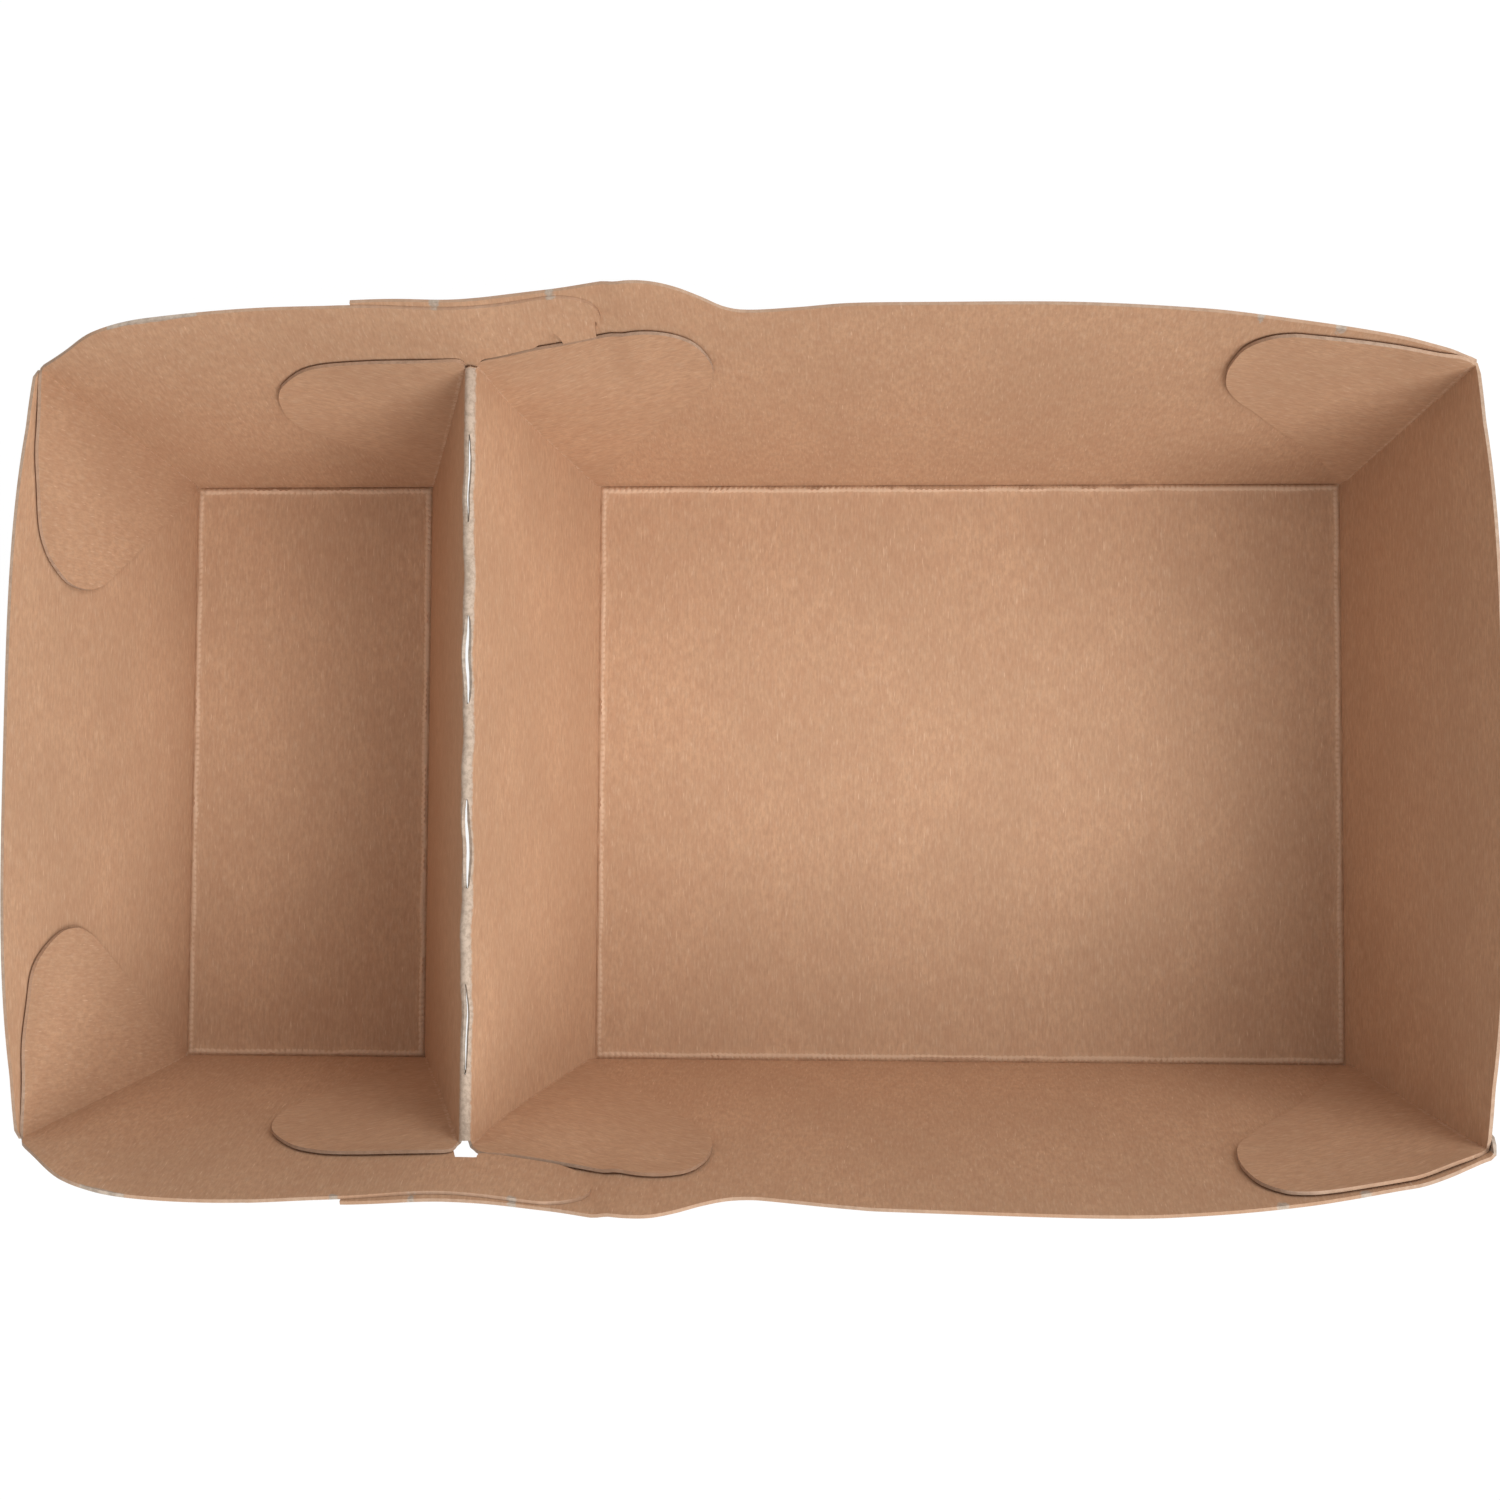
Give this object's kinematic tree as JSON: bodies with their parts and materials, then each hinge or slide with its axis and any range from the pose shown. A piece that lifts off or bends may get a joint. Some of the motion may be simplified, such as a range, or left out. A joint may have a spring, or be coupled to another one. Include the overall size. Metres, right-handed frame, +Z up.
{
  "type": "paper food tray",
  "caption": "Open divided food tray, folded and glued from a die-cut kraft board blank, with leaning walls, a hollow folded divider and rounded glue flaps.",
  "frame": {"origin": "on the surface the tray rests on, under the middle of its outline", "axes": "+X along the tray from the small compartment to the large one, +Y across it, +Z up out of the open top"},
  "size_m": [0.2038, 0.1234, 0.0621],
  "materials": {
    "kraft_board": "matte, unbleached, fine fibres"
  },
  "bodies": {
    "root": {"folded_board": "kraft_board"}
  },
  "joints": []
}
